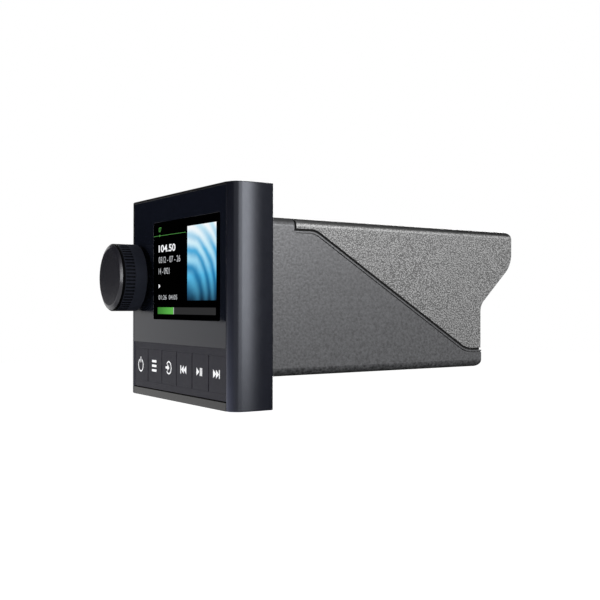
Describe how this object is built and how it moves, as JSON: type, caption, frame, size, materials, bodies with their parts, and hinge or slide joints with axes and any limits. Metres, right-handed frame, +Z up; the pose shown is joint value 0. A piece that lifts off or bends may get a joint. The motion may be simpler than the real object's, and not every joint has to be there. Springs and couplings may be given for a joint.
{
  "type": "marine stereo",
  "caption": "Panel-mounted marine stereo: square front with display, push-turn knob at the left edge and a row of keys, on a deep two-part body with a sloping seam.",
  "frame": {"origin": "centre of the mounting face, where the back of the gasket meets the dash", "axes": "+X to the right seen from the front, +Y into the dash towards the sockets, +Z up"},
  "size_m": [0.097, 0.1495, 0.079],
  "materials": {
    "bezel_plastic": "satin black moulding",
    "panel_gloss": "gloss black panel",
    "trim_satin": "satin blue-black moulding",
    "window": "clear dark window",
    "display": "lit display",
    "white_plastic": "plain white moulding",
    "key_rubber": "matt moulded keys",
    "seal_rubber": "soft black rubber",
    "board": "green glass-fibre board",
    "knob_black": "satin black moulding",
    "steel": "plain steel",
    "brass": "plain brass",
    "housing_grey": "smooth moulded grey",
    "cover_cast": "fine-grained dark grey coating on a casting",
    "black_plastic": "plain black moulding",
    "chip": "moulded chip",
    "copper": "enamelled copper"
  },
  "bodies": {
    "base": {"front_bezel": "bezel_plastic", "face_panel": "panel_gloss", "display_glass": "window", "lcd_foam_ring": "seal_rubber", "lcd_panel": "display", "lcd_frame": "white_plastic", "front_board": "board", "keypad_frame": "key_rubber", "left_trim": "trim_satin", "right_trim": "trim_satin", "mounting_gasket": "seal_rubber", "mount_inserts": "brass", "housing_screws": "steel", "tact_switches": "black_plastic", "encoder_case": "black_plastic", "encoder_bushing": "brass", "encoder_nut": "steel", "encoder_seal": "seal_rubber", "main_housing": "housing_grey", "rear_cover": "cover_cast", "cover_seal": "seal_rubber", "cover_screws": "steel", "main_board": "board", "main_board_screws": "steel", "amplifier_chip": "chip", "thermal_pad": "white_plastic", "chip_clamp": "steel", "clamp_screws": "steel", "filter_capacitors": "black_plastic", "choke_coil": "copper", "flat_cable": "white_plastic", "cable_plugs": "white_plastic", "power_socket": "black_plastic", "network_socket": "black_plastic", "data_connector": "steel", "antenna_socket": "steel", "contact_pins": "brass"},
    "rotor": {"encoder_rotor": "white_plastic"},
    "knob": {"knob_grip": "knob_black", "knob_cap": "knob_black", "encoder_shaft": "steel"},
    "power_key": {"key_power": "key_rubber", "plunger_power": "white_plastic"},
    "menu_key": {"key_menu": "key_rubber", "plunger_menu": "white_plastic"},
    "source_key": {"key_source": "key_rubber", "plunger_source": "white_plastic"},
    "back_key": {"key_back": "key_rubber", "plunger_back": "white_plastic"},
    "play_key": {"key_play": "key_rubber", "plunger_play": "white_plastic"},
    "next_key": {"key_next": "key_rubber", "plunger_next": "white_plastic"}
  },
  "joints": [
    {"name": "knob_turn", "type": "hinge", "parent": "base", "child": "rotor", "pos_m": [-0.0368, -0.02, 0.0081], "axis": [0, 1, 0], "continuous": true},
    {"name": "knob_press", "type": "slide", "parent": "rotor", "child": "knob", "axis": [0, 1, 0], "range_m": [0, 0.0006], "stiffness_N_per_m": 1500},
    {"name": "power_press", "type": "slide", "parent": "base", "child": "power_key", "axis": [0, 1, 0], "range_m": [0, 0.0006], "stiffness_N_per_m": 800},
    {"name": "menu_press", "type": "slide", "parent": "base", "child": "menu_key", "axis": [0, 1, 0], "range_m": [0, 0.0006], "stiffness_N_per_m": 800},
    {"name": "source_press", "type": "slide", "parent": "base", "child": "source_key", "axis": [0, 1, 0], "range_m": [0, 0.0006], "stiffness_N_per_m": 800},
    {"name": "back_press", "type": "slide", "parent": "base", "child": "back_key", "axis": [0, 1, 0], "range_m": [0, 0.0006], "stiffness_N_per_m": 800},
    {"name": "play_press", "type": "slide", "parent": "base", "child": "play_key", "axis": [0, 1, 0], "range_m": [0, 0.0006], "stiffness_N_per_m": 800},
    {"name": "next_press", "type": "slide", "parent": "base", "child": "next_key", "axis": [0, 1, 0], "range_m": [0, 0.0006], "stiffness_N_per_m": 800}
  ]
}
